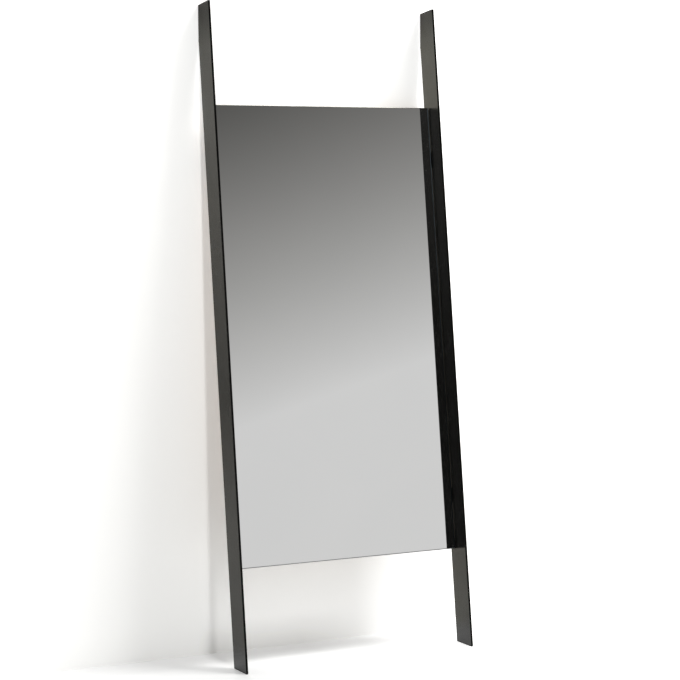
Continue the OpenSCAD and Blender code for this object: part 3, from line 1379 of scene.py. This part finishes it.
@dataclass
class Studio:
    """The floor and the wall: white to the eye further off, with soft shadows near the mirror,
    partly cast by the lamps and partly painted.

    Lightening is painted light: how much lighter a surface looks than it is lit. Heights are
    above the floor, and places are right of the middle, or behind it in floor_reach, all in
    metres.

    Attributes:
        floor_colour: the floor's colour.
        wall_colour: the wall's colour.
        near: the lightening at the foot and at the top of the mirror.
        near_heights: the heights of that foot and top.
        pool: the lightening that is added to the right of the mirror.
        pool_reach: the places at which that starts and is full.
        between: the lightening that is added from the left plate on.
        between_reach: the places at which that starts and is full.
        far: the lightening away from the mirror, where all fades to white.
        far_mirrored: the same for the wall in reflections.
        horizon: the same for the floor in reflections.
        fade: the distances from the middle at which the fading starts and ends.
        floor_mirrored: the share of the floor's lightening in front that reflections have.
        floor_reach: the places from which that share grows to all of it.
        again: the share of the lightening that is left in a reflection of a reflection.
        warm: the colour of the wall's lightening in reflections.
        mottle: the brightness of the faint darker patches on both.
        mottle_scale: those patches in a metre.
        shade: the brightness of the wall's painted reflection, low, where it is darkest and at
            the top.
        shaded: the heights at which it starts to darken, is darkest and is bright again.
        wall_end: the heights between which it darkens at the top.
        sides: its brightness, left and right.
        sides_reach: the places between which that changes.
        corner: the painted shadow at the foot of the wall between the plates: how much darker it
            looks there.
        corner_heights: the heights between which that fades.
        corner_depths: the depths between which it sets in.
        corner_reach: the places between which it sets in, and fades.
        corner_left: the share of it that is left outside the left plate.
        patch: the painted shadow on the wall next to the top of the right plate: how much darker
            it looks there.
        patch_heights: the heights between which that sets in.
        patch_reach: the places between which it sets in, and fades.
        reach: half the width of the floor and wall.
        wall_top: the height of the wall.
    """

    floor_colour: Colour = (0.74, 0.74, 0.73)
    wall_colour: Colour = (0.87, 0.868, 0.85)
    near: Point2 = (0.185, 0.40)
    near_heights: Point2 = (0.1, 1.7)
    pool: float = 0.50
    pool_reach: Point2 = (0.12, 0.42)
    between: float = 0.08
    between_reach: Point2 = (-0.34, -0.20)
    far: float = 0.9
    far_mirrored: float = 0.34
    horizon: float = 0.657
    fade: Point2 = (0.55, 1.7)
    floor_mirrored: float = 0.3
    floor_reach: Point2 = (-0.45, -0.15)
    again: float = 0.55
    warm: Colour = (1.0, 0.95, 0.77)
    mottle: float = 0.985
    mottle_scale: float = 1.5
    shade: Point3 = (0.88, 0.5, 0.45)
    shaded: Point3 = (0.35, 0.72, 1.5)
    wall_end: Point2 = (1.68, 1.78)
    sides: Point2 = (0.97, 1.32)
    sides_reach: Point2 = (-0.35, 0.1)
    corner: float = 0.22
    corner_heights: Point2 = (0.0, 0.09)
    corner_depths: Point2 = (-0.02, 0.03)
    corner_reach: Band = ((-0.37, -0.33), (-0.05, 0.2))
    corner_left: float = 0.2
    patch: float = 0.40
    patch_heights: Point2 = (1.25, 1.45)
    patch_reach: Band = ((0.12, 0.25), (0.335, 0.36))
    reach: float = 9.0
    wall_top: float = 2.0

    def away(self, look: Look, near: float, far: float) -> Socket:
        """Fades a value with the distance from the middle.

        Args:
            look: the material's builder.
            near: the value near the mirror.
            far: the value away from it.

        Returns:
            The value.
        """
        level = look.scaled(look.where, (1, 1, 0))
        distance = look.node("ShaderNodeVectorMath", {0: level}, operation="LENGTH")
        return look.spread(distance.outputs["Value"], near, far, *self.fade)

    def reflected(self, look: Look) -> Socket:
        """Works out how bright the wall is in reflections: a painted reflection, darker at mid
        height and at the top and lighter to the right, that shades the sheen of the plates.

        Args:
            look: the material's builder.

        Returns:
            The brightness.
        """
        across, _, height = look.axes(look.where)
        foot, least, top = self.shade
        lower = look.spread(height, foot, least, *self.shaded[:2])
        upper = look.spread(height, least, 1.0, *self.shaded[1:])
        return look.product(
            look.math("MAXIMUM", lower, upper), look.spread(height, 1.0, top, *self.wall_end),
            look.spread(across, *self.sides, *self.sides_reach))

    def shadows(self, look: Look) -> Socket:
        """Works out the painted shadows: how much darker the wall and floor look close to the
        mirror.

        Args:
            look: the material's builder.

        Returns:
            What is taken from the lightening.
        """
        across, depth, height = look.axes(look.where)
        # painted shadow at the foot of the wall and on the floor before it, between the plates
        foot = look.product(
            look.spread(height, self.corner, 0.0, *self.corner_heights),
            look.spread(depth, 0.0, 1.0, *self.corner_depths),
            look.band(across, *self.corner_reach, self.corner_left))
        # painted shadow on the wall next to the top of the right plate
        beside = look.product(
            look.spread(height, 0.0, self.patch, *self.patch_heights),
            look.band(across, *self.patch_reach))
        return look.total(foot, beside)

    def backdrop(self, name: str, colour: Colour) -> Look:
        """Starts the finish of the floor or the wall.

        Args:
            name: its name.
            colour: its colour.

        Returns:
            The material's builder.
        """
        return Look(name, {"Base Color": (*colour, 1), "Roughness": 0.9,
                           "Specular IOR Level": 0.0, "Emission Color": (*WHITE, 1)})

    def lighten(self, look: Look, colour: Colour, share: Socket, kept: Socket, far: float
                ) -> Socket:
        """Gives the floor or the wall its colour and its lightening.

        Args:
            look: the material's builder.
            colour: its colour.
            share: the share of the lightening near the mirror that reflections have.
            kept: the share of the colour that reflections have.
            far: the lightening in reflections away from the mirror.

        Returns:
            1 for a ray in a reflection or in glass.
        """
        camera, mirrored, depth = look.light_path()
        across, _, height = look.axes(look.where)
        near = look.product(look.total(
            look.spread(height, *self.near, *self.near_heights),
            look.spread(across, 0.0, self.pool, *self.pool_reach),
            look.spread(across, 0.0, self.between, *self.between_reach)),
            look.mix(mirrored, 1.0, share))
        lift = look.product(
            look.mix(self.away(look, 0.0, 1.0), near, look.mix(mirrored, self.far, far)),
            look.spread(depth, 1.0, self.again, 1.0, 2.0))
        # the painted shadows are taken from the lightening that the eye sees
        shadow = look.product(self.shadows(look), camera)
        lift = look.math("MAXIMUM", look.math("SUBTRACT", lift, shadow), 0.0)
        darker = tuple(self.mottle * c for c in colour)
        mottled = look.blend(look.noise(look.where, self.mottle_scale, 3.0), colour, darker)
        base = look.node("ShaderNodeVectorMath", {
            0: mottled, "Scale": look.mix(mirrored, 1.0, kept)}, operation="SCALE")
        look.fill(look.principled, {
            "Base Color": base.outputs["Vector"],
            "Emission Strength": look.product(look.math("MAXIMUM", camera, mirrored), lift)})
        return mirrored

    def floor_finish(self) -> Material:
        """Makes the finish of the floor."""
        look = self.backdrop("studio_floor", self.floor_colour)
        share = look.spread(look.axes(look.where)[1], self.floor_mirrored, 1.0,
                            *self.floor_reach)
        self.lighten(look, self.floor_colour, share, self.away(look, 1.0, 0.0), self.horizon)
        return look.material

    def wall_finish(self) -> Material:
        """Makes the finish of the wall, which can be seen through from behind."""
        look = self.backdrop("studio_wall", self.wall_colour)
        # painted reflection: how bright the wall looks to the plates and the mirror, place by
        # place
        bright = self.reflected(look)
        mirrored = self.lighten(look, self.wall_colour, bright,
                                look.math("MINIMUM", bright, 1.0), self.far_mirrored)
        look.fill(look.principled, {"Emission Color": look.blend(mirrored, WHITE, self.warm)})
        clear = look.node("ShaderNodeBsdfTransparent")
        behind = look.node("ShaderNodeNewGeometry").outputs["Backfacing"]
        surface = look.node("ShaderNodeMixShader", {
            0: behind, 1: look.principled.outputs["BSDF"], 2: clear.outputs["BSDF"]})
        look.fill(look.tree.nodes["Material Output"], {"Surface": surface.outputs["Shader"]})
        return look.material

    def panel(self, name: str, corners: list[tuple[float, float, float]], finish: Material
              ) -> Object:
        """Builds a flat piece of the studio.

        Args:
            name: its name.
            corners: its four corners, in order round the side that is seen.
            finish: its material.

        Returns:
            The piece.
        """
        bm = bmesh.new()
        bm.faces.new([bm.verts.new(c) for c in corners])
        obj = make_object(name, bm, [finish], False)
        return obj

    def build(self) -> None:
        """Builds the floor, and a wall that lets light through to the back of the mirror."""
        r, high, y = self.reach, self.wall_top, CAD_BOX[1].y + 0.5 * MM
        self.panel("studio_floor", [(-r, -r, 0), (r, -r, 0), (r, r, 0), (-r, r, 0)],
                   self.floor_finish())
        wall = self.panel("studio_wall", [(-r, y, 0), (r, y, 0), (r, y, high), (-r, y, high)],
                          self.wall_finish())
        wall.visible_diffuse = False
        wall.visible_shadow = False
        LOG.info("built the floor and the wall")


@dataclass
class Surroundings:
    """The world: white to the eye, plain light on the object, and greys in reflections.

    Heights, widths and depths are those of a direction of length 1.

    Attributes:
        ambient: the strength of the plain light, from the front and from behind.
        front: the brightness of reflections in front, low and high, as it is displayed.
        rise: the heights between which it changes.
        slope: how much higher those lie towards the right.
        tone: the power that turns a displayed brightness into a strength.
        low_tint: the colour of reflections, low down.
        high_tint: the same, high up.
        behind: their strength behind the mirror, low and high.
        behind_rise: the heights between which it changes.
        turn: the depths between which the front turns into the back.
        dim: the strength far to the sides and in a reflection of a reflection, low and high.
        dim_rise: the heights between which it changes.
        glow: the strength of a soft band of light there.
        glow_reach: the heights between which the band sets in, and fades.
        glow_left: the share of it that is left above.
        aside: the widths between which the sides grow dim.
        aside_rise: the heights between which they do.
    """

    ambient: Point2 = (0.28, 0.65)
    front: Point2 = (0.826, 0.33)
    rise: Point2 = (-0.018, 0.148)
    slope: float = 0.28
    tone: float = 2.2
    low_tint: Colour = WHITE
    high_tint: Colour = (1.0, 0.985, 0.945)
    behind: Point2 = (1.0, 0.25)
    behind_rise: Point2 = (0.15, 0.6)
    turn: Point2 = (-0.05, 0.2)
    dim: Point2 = (0.01, 0.09)
    dim_rise: Point2 = (0.0, 0.33)
    glow: float = 0.2
    glow_reach: Band = ((0.165, 0.215), (0.235, 0.27))
    glow_left: float = 0.45
    aside: Point2 = (0.80, 0.95)
    aside_rise: Point2 = (0.0, 0.05)

    def side(self, sky: Shader, width: Socket, height: Socket) -> tuple[Socket, Socket]:
        """Works out the dim part of reflections.

        Args:
            sky: the world's builder.
            width: how far right a direction points.
            height: how far up it points.

        Returns:
            Its strength, and where it takes the place of the rest.
        """
        glow = sky.product(sky.band(height, *self.glow_reach, after=self.glow_left), self.glow)
        dim = sky.total(sky.spread(height, *self.dim, *self.dim_rise), glow)
        wide = sky.spread(sky.math("ABSOLUTE", width, 0.0), 0.0, 1.0, *self.aside)
        return dim, sky.product(sky.spread(height, 0.0, 1.0, *self.aside_rise), wide)

    def build(self) -> None:
        """Builds the world."""
        world = bpy.data.worlds.new("studio")
        bpy.context.scene.world = world
        world.use_nodes = True
        sky = Shader(world.node_tree)
        width, depth, height = sky.axes(sky.node("ShaderNodeTexCoord").outputs["Generated"])
        camera, mirrored, bounces = sky.light_path()
        lean = sky.product(sky.math("MAXIMUM", width, 0.0), self.slope)
        tilted = sky.math("SUBTRACT", height, lean)
        front = sky.math("POWER", sky.spread(tilted, *self.front, *self.rise), self.tone)
        dim, aside = self.side(sky, width, height)
        again = sky.spread(bounces, 0.0, 1.0, 1.0, 2.0)
        back = sky.spread(depth, 0.0, 1.0, *self.turn)
        seen = sky.mix(back, sky.mix(sky.math("MAXIMUM", aside, again), front, dim),
                       sky.spread(height, *self.behind, *self.behind_rise))
        lit = sky.mix(mirrored, sky.mix(back, *self.ambient), seen)
        tint = sky.product(mirrored, sky.spread(tilted, 0.0, 1.0, *self.rise))
        sky.fill(world.node_tree.nodes["Background"], {
            "Color": sky.blend(tint, self.low_tint, self.high_tint),
            "Strength": sky.mix(camera, lit, 1.0)})
        LOG.info("built the surroundings")


@dataclass
class SoftBox:
    """A soft box that faces the middle of the mirror.

    Attributes:
        name: its name.
        place: where it stands.
        size: the width and height of its face, in metres.
        power: its power in watts.
        target: what it faces.
    """

    name: str
    place: Point3
    size: Point2
    power: float
    target: Point3 = (0.0, 0.0, 0.85)

    def build(self) -> None:
        """Adds the lamp."""
        data = bpy.data.lights.new(self.name, "AREA")
        data.shape = "RECTANGLE"
        data.size, data.size_y = self.size
        data.energy = self.power
        obj = bpy.data.objects.new(self.name, data)
        obj.location = self.place
        obj.rotation_mode = "QUATERNION"
        ahead = Vector(self.target) - Vector(self.place)
        obj.rotation_quaternion = ahead.to_track_quat("-Z", "Y")
        obj.visible_glossy = False
        bpy.context.scene.collection.objects.link(obj)
        LOG.info("hung %s", self.name)


@dataclass
class PhotoCamera:
    """A camera at the photograph's viewing angle.

    Attributes:
        place: where it stands.
        yaw: how far it turns from +Y towards +X, in degrees.
        pitch: how far it looks down, in degrees.
        roll: its small turn about the line of sight, in degrees.
        focal_px: the focal length, in pixels of the photograph.
        centre_px: the height of the line of sight in the photograph, in pixels from the top.
    """

    place: Point3 = (-2.5200, -4.9721, 1.2529)
    yaw: float = 26.949
    pitch: float = 3.160
    roll: float = -0.466
    focal_px: float = 2014.4
    centre_px: float = 313.0

    def build(self) -> None:
        """Makes it the scene's camera."""
        yaw, pitch, roll = (math.radians(a) for a in (self.yaw, self.pitch, self.roll))
        ahead = Vector((math.sin(yaw) * math.cos(pitch), math.cos(yaw) * math.cos(pitch),
                        -math.sin(pitch)))
        right = Vector((math.cos(yaw), -math.sin(yaw), 0))
        up = right.cross(ahead)
        turned_right = math.cos(roll) * right + math.sin(roll) * up
        turned_up = math.cos(roll) * up - math.sin(roll) * right
        turn = Matrix((turned_right, turned_up, -ahead)).transposed().to_4x4()
        data = bpy.data.cameras.new("photo_camera")
        data.sensor_width = SENSOR_MM
        data.lens = self.focal_px * SENSOR_MM / PHOTO_WIDTH_PX
        data.shift_y = (self.centre_px - PHOTO_WIDTH_PX / 2) / PHOTO_WIDTH_PX
        data.clip_end = 100.0
        obj = bpy.data.objects.new("photo_camera", data)
        obj.matrix_world = Matrix.Translation(self.place) @ turn
        bpy.context.scene.collection.objects.link(obj)
        bpy.context.scene.camera = obj
        LOG.info("placed the camera")


def build_mirror() -> None:
    """Builds the plates, the mirror and all that is behind it."""
    for side in Side:
        SidePlate(side).build()
        RibbedPad(side, "foot").build()
        RibbedPad(side, "wall").build()
    for piece in (MirrorGlass(), Backing(), RailsAndBrackets()):
        piece.build()
    tree = build_fastener_tree()
    for node, coat, slot, drive, seat, shank_d, seed in (
            ("rail_screws", Coat.ZINC, "zinc_screw", Drive.CROSS, "upper_cross_rail", 4, 11),
            ("ledge_screws", Coat.ZINC, "zinc_screw", Drive.CROSS, "glass_ledge", 4, 23),
            ("bracket_bolts", Coat.BLACK_BOLT, "black_bolt", Drive.HEX, "left_upper_bracket",
             6, 37)):
        FastenerSet(node, coat, slot, drive, seat, shank_d * MM, seed).build(tree)
    Welds().build()


def main() -> None:
    """Builds the mirror, the studio and the camera."""
    logging.basicConfig(level=logging.INFO, format="%(name)s: %(message)s")
    build_mirror()
    Studio().build()
    Surroundings().build()
    SoftBox("key_soft_box", (2.29, -1.70, 5.50), (1.87, 1.87), 190).build()
    SoftBox("strip_soft_box", (-0.70, -4.20, 2.70), (0.40, 5.2), 76).build()
    SoftBox("back_soft_box", (0.90, 4.20, 2.90), (1.6, 1.6), 95).build()
    PhotoCamera().build()
    bpy.context.scene.view_settings.view_transform = "Standard"


if __name__ == "__main__":
    main()
